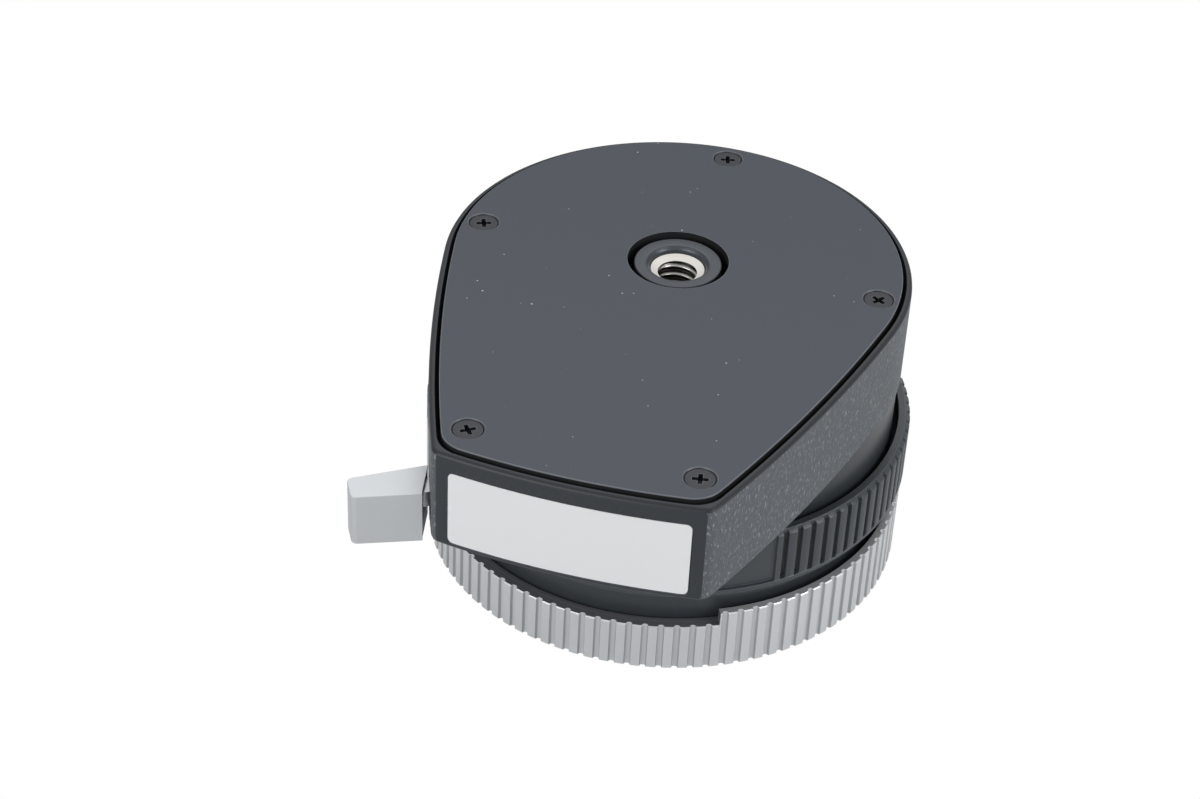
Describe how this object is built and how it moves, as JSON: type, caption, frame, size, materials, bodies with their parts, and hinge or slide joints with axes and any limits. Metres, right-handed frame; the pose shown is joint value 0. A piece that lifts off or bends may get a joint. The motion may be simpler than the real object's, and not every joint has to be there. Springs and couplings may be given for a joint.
{
  "type": "panoramic tripod head",
  "caption": "Low pan head with a teardrop base housing, tripod socket, click-stop selector ring, fluted turning ring with a reading window and a small side lever.",
  "frame": {"origin": "centre of the bounding box at its base, on the face of the camera pad, with the pan axis 8.4 mm towards +Y", "axes": "+Z along the pan axis from the camera pad to the tripod face, -Y towards the nose of the housing with the name plate, +X to the right seen from the nose"},
  "size_m": [0.064, 0.0808, 0.042],
  "materials": {
    "housing_paint": "crackle enamel on the sides, smooth matt on the nose",
    "plate_paint": "smooth satin enamel",
    "bare_plate": "satin silver, left blank",
    "black_screws": "blackened",
    "dark_metal": "blackened, turned",
    "bright_bush": "polished",
    "plain_screws": "zinc plated",
    "neck_black": "smooth semi-gloss black",
    "grip_black": "matt black anodised look",
    "silver": "satin",
    "scale_black": "smooth black",
    "platform_black": "matt black",
    "pad_rubber": "matt",
    "hub_aluminium": "turned",
    "bearing_bronze": "turned",
    "steel_works": "ground",
    "level_metal": "satin",
    "level_glass": "clear, yellow-green liquid"
  },
  "bodies": {
    "base": {"housing": "housing_paint", "name_plate": "bare_plate", "base_cover": "plate_paint", "cover_screw_1": "black_screws", "cover_screw_2": "black_screws", "cover_screw_3": "black_screws", "cover_screw_4": "black_screws", "cover_screw_5": "black_screws", "spindle": "dark_metal", "thread_bush": "bright_bush", "spindle_screw_1": "plain_screws", "spindle_screw_2": "plain_screws", "spindle_screw_3": "plain_screws", "neck_screw_1": "plain_screws", "neck_screw_2": "plain_screws", "neck_screw_3": "plain_screws", "neck_drum": "neck_black", "spindle_nut": "steel_works", "lower_thrust_washer": "bearing_bronze", "upper_thrust_washer": "bearing_bronze", "guide_post_1": "steel_works", "guide_post_2": "steel_works", "lever_pivot_pin": "steel_works", "lever_washer": "bearing_bronze", "level_bezel": "level_metal", "level_vial": "level_glass"},
    "pan_stage": {"pan_ring": "silver", "scale_ring": "scale_black", "platform_plate": "platform_black", "platform_pad": "pad_rubber", "platform_screw_1": "plain_screws", "platform_screw_2": "plain_screws", "platform_screw_3": "plain_screws", "ring_screw_1": "plain_screws", "ring_screw_2": "plain_screws", "ring_screw_3": "plain_screws", "pan_hub": "hub_aluminium", "lower_bush": "bearing_bronze", "upper_bush": "bearing_bronze", "click_disc_8": "steel_works", "click_disc_12": "steel_works", "click_disc_24": "steel_works", "disc_clamp_ring": "steel_works"},
    "click_selector": {"selector_ring": "grip_black", "selector_tab": "silver", "selector_pin_1": "steel_works", "selector_pin_2": "steel_works", "selector_pin_3": "steel_works", "ramp_ring": "bearing_bronze"},
    "lever": {"lever_handle": "silver", "lever_arm": "steel_works", "lever_drop_pin": "steel_works"},
    "carrier": {"detent_carrier": "hub_aluminium"},
    "plunger": {"detent_plunger": "steel_works", "detent_spring": "steel_works"},
    "tip": {"detent_tip": "steel_works"},
    "screw_lift": {"screw_spring": "steel_works"},
    "screw": {"camera_screw": "steel_works"}
  },
  "joints": [
    {"name": "pan_turn", "type": "hinge", "parent": "base", "child": "pan_stage", "pos_m": [0, 0.00836, 0.005], "axis": [0, 0, 1], "continuous": true},
    {"name": "selector_turn", "type": "hinge", "parent": "base", "child": "click_selector", "pos_m": [0, 0.00836, 0.016], "axis": [0, 0, 1], "range_deg": [0, 60]},
    {"name": "detent_lift", "type": "slide", "parent": "base", "child": "carrier", "axis": [0, 0, 1], "range_m": [0, 0.00435]},
    {"name": "lever_swing", "type": "hinge", "parent": "base", "child": "lever", "pos_m": [-0.00979, -0.0294, 0.0315], "axis": [0, 0, 1], "range_deg": [0, 10]},
    {"name": "plunger_slide", "type": "slide", "parent": "carrier", "child": "plunger", "axis": [0, 1, 0], "range_m": [0, 0.00152]},
    {"name": "tip_spring", "type": "slide", "parent": "plunger", "child": "tip", "axis": [0, -1, 0], "range_m": [0, 0.00065], "stiffness_N_per_m": 350, "springref_m": -0.0007, "deforming": ["detent_spring"]},
    {"name": "screw_push", "type": "slide", "parent": "pan_stage", "child": "screw_lift", "axis": [0, 0, -1], "range_m": [0, 0.0032], "stiffness_N_per_m": 120, "springref_m": -0.0022, "deforming": ["screw_spring"]},
    {"name": "screw_turn", "type": "hinge", "parent": "screw_lift", "child": "screw", "pos_m": [0, 0.00836, 0.005], "axis": [0, 0, 1], "continuous": true}
  ],
  "couplings": [
    {"joint": "detent_lift", "follows": "selector_turn", "m_per_rad": 0.004153},
    {"joint": "plunger_slide", "follows": "lever_swing", "m_per_rad": 0.008678}
  ]
}
